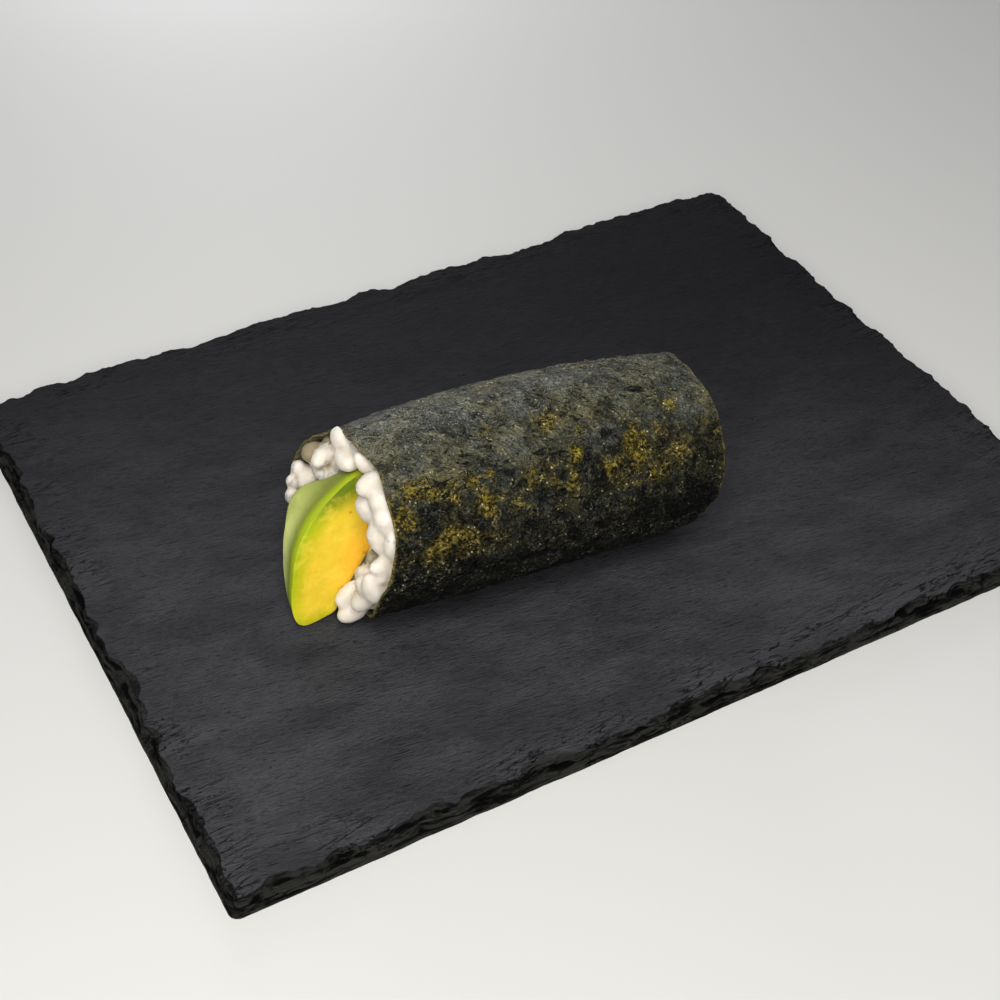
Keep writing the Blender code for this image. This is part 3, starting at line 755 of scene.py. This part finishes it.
def avocadoLook(a):
    s = Shader("ripeAvocado")
    depth, fromSkin, fromStone = s.number("depth"), s.number("fromSkin"), s.number("fromStone")
    cloud = s.grain(s.place, 140, 3, 0.5)
    fine = s.grain(s.place, 900, 4, 0.6)
    specks = s.cells(s.place, 300)
    patches = s.grain(s.place, 210, 4, 0.6, 0.4)
    height = s.part("Z")
    inwards = s.math("MULTIPLY_ADD", s.math("SUBTRACT", cloud, 0.5), 1.5, fromSkin)
    inwards = s.math("ADD", inwards, s.ramp(height, 0.030, 0.006, 0.0, 1.6))
    face = s.mix(s.ramp(inwards, 0.3, 3.0), *a["rind"])
    face = s.mix(s.ramp(inwards, 2.2, 5.5), face, a["flesh"])
    face = s.mix(s.ramp(inwards, 8.0, 15.0), face, a["inner"])
    # painted shade: the top of the cut face, inside the roll's mouth, darker green
    face = s.mix(s.ramp(height, 0.030, 0.038), face, s.mix(s.ramp(inwards, 1.0, 8.0), *a["shadedFaceTop"]))
    # painted shade along the cut face's edge on the pit side, beside the rice, fading out near the tip
    stone = s.times(s.ramp(fromStone, 1.6, 0.2), s.ramp(height, 0.009, 0.014))
    face = s.mix(stone, face, a["stone"])
    face = s.mix(s.ramp(patches, 0.50, 0.68, 0.0, 0.35), face, a["pale"])
    face = s.mix(s.ramp(patches, 0.44, 0.32, 0.0, 0.3), face, a["deep"])
    face = s.mix(s.times(s.ramp(specks, 0.16, 0.06), s.ramp(patches, 0.5, 0.4)), face, a["speck"])
    # a thin painted highlight along the cut face's edge on the skin side
    edgeHighlight = s.times(s.ramp(fromSkin, 0.35, 0.05), s.ramp(patches, 0.46, 0.58, 0.0, 0.15))
    edgeHighlight = s.times(edgeHighlight, s.ramp(height, 0.034, 0.026))
    face = s.mix(edgeHighlight, face, a["edgeHighlight"])
    # darker near the cut edge, paler farther off: partly the skin side's own green, partly painted shade and
    # painted sheen
    skin = s.mix(s.ramp(depth, 1.2, 7.0), *a["skin"])
    skin = s.mix(s.ramp(cloud, 0.4, 0.7, 0.0, 0.5), skin, a["skinCloud"])
    # painted shade on the skin side near the roll's mouth
    skin = s.mix(s.ramp(height, 0.026, 0.038, 0.0, 0.85), skin, a["shadedSkinTop"])
    skin = s.mix(s.ramp(depth, 0.7, 2.8), a["skinEdge"], skin)
    colour = s.mix(s.ramp(depth, 0.05, 0.25), face, skin)
    relief = s.bump(cloud, 0.0004, s.bump(fine, 0.00015))
    return s.finish(
        colour, s.ramp(fine, 0.3, 0.7, 0.5, 0.64), relief, Specular_IOR_Level=0.3,
        Subsurface_Weight=0.25, Subsurface_Radius=(0.0024, 0.0016, 0.0004), Subsurface_Scale=1.0,
    )


settle(wedge, avocadoLook(avocado), "avocado_wedge")
print("avocado:", len(wedge.data.polygons), "faces")


# rice: a soft core, grains set one by one where the open end shows them, and strewn ones behind

rice = dict(
    # one grain
    size=(0.0072, 0.0041, 0.0038), segments=12, rings=8, bluntness=0.86, uneven=0.03,
    fuller=0.10, blunter=0.12, flatness=0.94, spinStep=0.7,
    forms=((0.05, 1), (-0.04, -1), (0.08, 0.4)),  # curve of each shape and which end is blunter
    # the core
    coreVoxel=0.001, coreSoftening=20, faceBack=0.0018, faceReach=(-0.014, -0.022),
    ends=(-0.015, 0.036), endReach=0.002, coreDrop=0.0006,
    # strewn grains, and their room to the sheet: bareWall is used where the sheet is cut away
    seed=7, tries=4000, spacing=0.0040, spread=0.0205, start=0.07, tilt=0.35, sizes=(0.92, 1.08),
    lifts=(-0.0006, 0.0009), endsFrom=0.02, endFacing=0.35, wallRoom=0.0002, bareWall=0.0208,
    sheetGap=0.00012,
    # how the grains fuse at the ends
    voxel=0.00042, softening=6, softness=0.6, swell=1.02, placedSwell=1.06, mergedSwell=1.12,
    creaseReach=14, meltedCrease=0.5, melting=8, shadeReach=0.0015, meltReach=0.002,
    lumps=(0.0021, 0.00028),
    merged=("brow", "cheek", "outer", "middle", "lower", "inner", "tie", "shelf", "stack", "nook",
            "shoulder", "behind", "ledge", "chin", "under"),
    brownAndShaded=dict(brownGrain=-0.65, shadowLeft=-0.8, shadowTop=-0.8),  # how far to the tan colour: a brown grain, and painted shade on grains under the sheet
    # crease is painted shade in the hollows between grains
    tan="72633c", crease="beae8a",
    looks=dict(  # light and dark
        riceCore=("cbc5b8", "b5ac96"), ricePaste=("d2cac1", "c8c0b1"), riceGrains=("d2cac0", "c9bfb0"),
    ),
    # along, across, height in mm, heading and dip in degrees, length and width in mm
    placed=dict(
        top=(-27, 9.6, 40, -100, 35, 6.4, 5.4), big=(-31, 12.5, 33.5, -145, -5, 7.2, 4),
        left=(-35, 19, 24.5, -120, 70, 7, 3.9), farLeft=(-36.5, 19, 21.5, -135, 50, 6, 3.3),
        lowLeft=(-37.5, 18, 18, -115, 60, 6, 3.1), under=(-32.5, 16.5, 25, -125, 20, 7, 4),
        shadowLeft=(-32, 17, 31, -110, 30, 7, 5),
        chin=(-34, 16.5, 23.5, -125, 40, 6.5, 4.2), shadowTop=(-27.5, 16, 33.5, -120, 10, 7, 4.4),
        shoulder=(-27.8, 5.5, 37, 95, -10, 7.4, 4.6), behind=(-25.2, 7.5, 38.5, -135, 45, 7, 4.4),
        ledge=(-25.5, -1, 40, 160, 50, 7, 3.6), brow=(-26.5, -7, 39.5, -155, 10, 7.4, 4.8),
        cheek=(-26.2, -7.2, 32.5, 140, 55, 8.4, 6.4), outer=(-25, -10.5, 36.5, -150, 50, 7.6, 5.6),
        middle=(-25, -13.5, 33.5, 165, 65, 8, 5.8), lower=(-26.5, -13, 28.5, 155, 75, 8.2, 5.6),
        inner=(-25.5, -10, 33, 150, 60, 7, 4.4), rim=(-25.5, -17.3, 29, -130, 85, 7.8, 3.8),
        tie=(-25.5, -15.5, 26, 160, 80, 7, 4), brownGrain=(-27, -10, 20, -135, 30, 6.6, 3.6),
        shelf=(-28, -16.5, 23, -150, 35, 7, 3.8), shade=(-28, -16.5, 20, -135, 45, 7, 3.8),
        crumb=(-29.5, -9, 14.5, 100, -40, 7, 3.8), stack=(-30.5, -17, 18, 160, 80, 8, 4.4),
        lean=(-32.5, -7, 7, -165, -30, 7.8, 4.4), foot=(-32, -9, 3.6, 10, 15, 8.8, 4.6),
        fill=(-31, -13, 11, 175, -50, 7.5, 4.6), nook=(-30.5, -13.5, 14.5, 165, 70, 7, 4.2),
    ),
)


def makeGrainShapes(r):  # three slightly different grains, long along x
    shapes = []
    for number, (curve, blunt) in enumerate(r["forms"]):
        deselect()
        bpy.ops.mesh.primitive_uv_sphere_add(segments=r["segments"], ring_count=r["rings"], radius=0.5)
        shape = bpy.context.active_object
        shape.rotation_euler.y = math.pi / 2
        applyPlace(shape)
        editAll(shape)
        bpy.ops.transform.vertex_random(offset=r["uneven"], seed=number + 1)
        bpy.ops.mesh.vertices_smooth(factor=0.5)
        leaveEdit()
        points = readPoints(shape.data)
        points /= np.abs(points).max(0)
        points = np.sign(points) * np.abs(points) ** r["bluntness"] / 2
        along = points[:, 0] * 2
        points[:, 1:] *= (1 + r["fuller"] * (1 - np.abs(along))[:, None])  # in the middle
        points[:, 2] += curve * along ** 2
        points[:, 1] *= 1 - r["blunter"] * along * blunt
        writePoints(shape.data, points)
        shapes.append(shape)
    return shapes


def grainPoints(shape, middle, turn, size):  # in the roll's frame
    points = readPoints(shape.data) * np.array(size)
    return points @ np.array(turn.to_matrix()).T + np.array(middle)


def addGrain(shape, points, shade):
    grain = linkedCopy(shape, "riceGrains")
    writePoints(grain.data, fromRoll(points))
    keepNumbers(grain.data, "shade", np.full(len(points), shade))
    return grain


def joinAll(items, name):
    deselect()
    for item in items:
        item.select_set(True)
    bpy.context.view_layer.objects.active = items[0]
    bpy.ops.object.join()
    items[0].name = name
    return items[0]


def soften(item, rounds, factor=0.5, group=""):  # group names the points to keep it to
    change = item.modifiers.new("soften", "SMOOTH")
    change.factor = factor
    change.iterations = rounds
    change.vertex_group = group
    applyModifiers(item)


def remesh(item, voxel):
    even = item.modifiers.new("even", "REMESH")
    even.mode = "VOXEL"
    even.voxel_size = voxel
    applyModifiers(item)


def makeRiceCore(r):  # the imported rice, melted to a smooth lump and set back at the open end
    core = copyOfNode("rice", "riceCore")
    remesh(core, r["coreVoxel"])
    soften(core, r["coreSoftening"])
    points = inRoll(readPoints(core.data))
    points[:, 0] += r["faceBack"] * smoothStep(points[:, 0], *r["faceReach"])
    writePoints(core.data, fromRoll(points))
    return core


def endOf(core, x, far):  # one end of the core, cut off and closed
    end = linkedCopy(core, "riceEnd")
    editAll(end)
    bpy.ops.mesh.bisect(
        plane_co=rollToWorld @ Vector((x, 0, 0)), plane_no=rollToWorld.to_3x3() @ Vector((1, 0, 0)),
        use_fill=True, clear_inner=far, clear_outer=not far,
    )
    leaveEdit()
    return end


def dropEnds(core, r):  # the whole core stays in the roll, its ends a little under the fused ones
    points = inRoll(readPoints(core.data))
    low, high = r["ends"]
    nearEnd = smoothStep(low + r["endReach"] - points[:, 0], 0, r["endReach"])
    farEnd = smoothStep(points[:, 0], high - r["endReach"], high)
    drop = r["coreDrop"] * np.maximum(nearEnd, farEnd)
    writePoints(core.data, fromRoll(points - rollNormals(core.data) * drop[:, None]))
    pick(core)
    bpy.ops.object.shade_smooth()


def treeOf(item):
    points = [Vector(p) for p in inRoll(readPoints(item.data))]
    return BVHTree.FromPolygons(points, [tuple(face.vertices) for face in item.data.polygons])


def isInside(tree, spot):
    near, facing, _, _ = tree.find_nearest(spot)
    return (spot - near).dot(facing) < 0


def wallBeyond(sheetTree, spot):  # the roll's axis, the way from it to here, and how far the sheet is
    axis = Vector((spot.x, 0, nori["axisHeight"]))
    arm = spot - axis
    return axis, arm, sheetTree.ray_cast(axis, arm.normalized())[3]


def throughSheet(sheetTree, spot, r):
    _, arm, wall = wallBeyond(sheetTree, spot)
    return arm.length + r["wallRoom"] > (r["bareWall"] if wall is None else wall)


def hidesWedge(spot, eye, wedgeTree, covers):  # would a grain here show in front of the wedge
    sight = (spot - eye).normalized()
    if any(tree.ray_cast(spot - sight * 0.0002, -sight)[0] is not None for tree in covers):
        return False
    return wedgeTree.ray_cast(spot, sight)[0] is not None


def makeGrains(r, coreTree, sheetTree, wedgeTree):
    shapes = makeGrainShapes(r)
    eye = worldToRoll @ Vector(view["place"])
    draw = random.Random(r["seed"])
    grains, middles = [], []
    for index, (name, numbers) in enumerate(r["placed"].items()):
        along, across, height, heading, dip, length, width = numbers
        middle = Vector((along, across, height)) * mm
        turn = Euler((r["spinStep"] * index, math.radians(-dip), math.radians(heading)), "XYZ")
        size = (length * mm, width * mm, width * mm * r["flatness"])
        points = grainPoints(shapes[index % 3], middle, turn, size)
        shade = r["brownAndShaded"][name] if name in r["brownAndShaded"] else draw.random()
        grains.append(addGrain(shapes[index % 3], points, shade))
        grains[-1]["swell"] = r["mergedSwell"] if name in r["merged"] else r["placedSwell"]
        grains[-1]["melted"] = name in r["merged"]
        middles.append(middle)
    placedTrees = [treeOf(grain) for grain in grains]
    # each end first, then the places at the open end that the placed grains hide from the camera
    for end, covers in ((-1, [sheetTree]), (1, [sheetTree]), (-1, placedTrees)):
        for _ in range(r["tries"]):
            reach, angle = r["spread"] * math.sqrt(draw.random()), draw.uniform(-math.pi, math.pi)
            spin, tilt, index = draw.uniform(0, math.pi), draw.gauss(0, r["tilt"]), draw.randrange(3)
            bigger, lift = draw.uniform(*r["sizes"]), draw.uniform(*r["lifts"])
            across, up = reach * math.sin(angle), reach * math.cos(angle)
            start = Vector((r["start"] * end, across, nori["axisHeight"] + up))
            hit, facing, _, _ = coreTree.ray_cast(start, Vector((-end, 0, 0)))
            if hit is None or abs(hit.x) < r["endsFrom"] or abs(facing.x) < r["endFacing"]:
                continue
            middle = hit + Vector((end * lift, 0, 0))
            if any((middle - other).length < r["spacing"] for other in middles):
                continue
            turn = Matrix.Rotation(spin, 3, "X") @ Euler((spin * 3, tilt, math.pi / 2), "XYZ").to_matrix()
            points = grainPoints(shapes[index], middle, turn.to_euler(), [s * bigger for s in r["size"]])
            spots = [Vector(p) for p in points[::3]]
            if any(throughSheet(sheetTree, s, r) or isInside(wedgeTree, s) for s in spots):
                continue
            if end < 0 and any(hidesWedge(s, eye, wedgeTree, covers) for s in spots):
                continue
            grains.append(addGrain(shapes[index], points, draw.random()))
            middles.append(middle)
    for shape in shapes:
        bpy.data.objects.remove(shape, do_unlink=True)
    return grains, len(middles)


def keepUnderSheet(item, sheetTree, gap):  # what would come through the seaweed is pressed back under it
    points = inRoll(readPoints(item.data))
    for i, point in enumerate(points):
        axis, arm, wall = wallBeyond(sheetTree, Vector(point))
        if wall is not None and arm.length > wall - gap:
            points[i] = axis + arm.normalized() * (wall - gap)
    writePoints(item.data, fromRoll(points))


def fuseGrains(r, ends, grains):  # a copy of every grain melts into the ends, which fills the creases
    copies = []
    for grain in grains:
        twin = linkedCopy(grain, "twin")
        points = readPoints(twin.data)
        writePoints(twin.data, points.mean(0) + (points - points.mean(0)) * grain.get("swell", r["swell"]))
        copies.append(twin)
    paste = joinAll(ends + copies, "ricePaste")
    near = KDTree(sum(len(grain.data.vertices) for grain in grains))
    shades, melts = [], []
    for grain in grains:
        shade = grain.data.attributes["shade"].data[0].value
        for vertex in grain.data.vertices:
            near.insert(vertex.co, len(shades))
            shades.append(shade)
            melts.append(bool(grain.get("melted")))
    near.balance()
    remesh(paste, r["voxel"])
    soften(paste, r["softening"], r["softness"])
    calm = linkedCopy(paste, "calm")
    soften(calm, r["creaseReach"])
    rise = readPoints(calm.data) - readPoints(paste.data)
    normals = readNormals(paste.data)
    bpy.data.objects.remove(calm, do_unlink=True)
    found = [near.find(vertex.co) for vertex in paste.data.vertices]
    # paste far from every grain keeps 0, which the material paints darkest: painted shade between the grains
    toned = [shades[index] if gap < r["shadeReach"] else 0.0 for _, index, gap in found]
    melted = np.array([melts[index] and gap < r["meltReach"] for _, index, gap in found])
    keepNumbers(paste.data, "shade", toned)
    # crease: how deep a point lies in a hollow, for the material's painted shade
    keepNumbers(paste.data, "crease", (rise * normals).sum(1) / mm * (1 - r["meltedCrease"] * melted))
    group = paste.vertex_groups.new(name="melted")
    group.add(np.nonzero(melted)[0].tolist(), 1.0, "REPLACE")
    soften(paste, r["melting"], r["softness"], "melted")
    displace(paste, *r["lumps"])
    pick(paste)
    bpy.ops.object.shade_smooth()
    for grain in [g for g in grains if g.get("melted")]:  # these are in the paste now
        grains.remove(grain)
        bpy.data.objects.remove(grain, do_unlink=True)
    return paste


def riceLook(r, name):
    s = Shader(name)
    light, dark = r["looks"][name]
    cloud = s.grain(s.place, 260, 2, 0.5)
    fine = s.grain(s.place, 1500, 3, 0.6)
    colour = s.mix(s.ramp(cloud, 0.35, 0.65), dark, light)
    shade = s.number("shade")
    # darker for low shade: each grain's own tone, and painted shade on paste between the grains
    colour = s.mix(s.ramp(shade, 0.0, 1.0, 0.35, 0.0, smooth=False), colour, dark)
    # towards tan: a brown grain, and painted shade on grains in the sheet's shadow
    colour = s.mix(s.ramp(shade, 0.0, -1.0, smooth=False), colour, r["tan"])
    # painted shade in the creases between grains
    colour = s.mix(s.ramp(s.number("crease"), 0.012, 0.15, 0.0, 0.75), colour, r["crease"])
    return s.finish(
        colour, s.ramp(fine, 0.3, 0.7, 0.5, 0.66), s.bump(fine, 0.0001), Specular_IOR_Level=0.16,
        Subsurface_Weight=1.0, Subsurface_Radius=(0.0034, 0.0033, 0.0032), Subsurface_Scale=1.0,
    )


riceCore = makeRiceCore(rice)
sheetTree = treeOf(noriSheet)
grains, grainCount = makeGrains(rice, treeOf(riceCore), sheetTree, treeOf(wedge))
ends = [endOf(riceCore, rice["ends"][0], False), endOf(riceCore, rice["ends"][1], True)]
ricePaste = fuseGrains(rice, ends, grains)
riceGrains = joinAll(grains, "riceGrains")
for item in (ricePaste, riceGrains):
    keepUnderSheet(item, sheetTree, rice["sheetGap"])
pick(riceGrains)
bpy.ops.object.shade_smooth()
dropEnds(riceCore, rice)
for item in (riceCore, ricePaste, riceGrains):
    settle(item, riceLook(rice, item.name), "rice")
    print(item.name + ":", len(item.data.polygons), "faces")
print("rice:", grainCount, "grains")
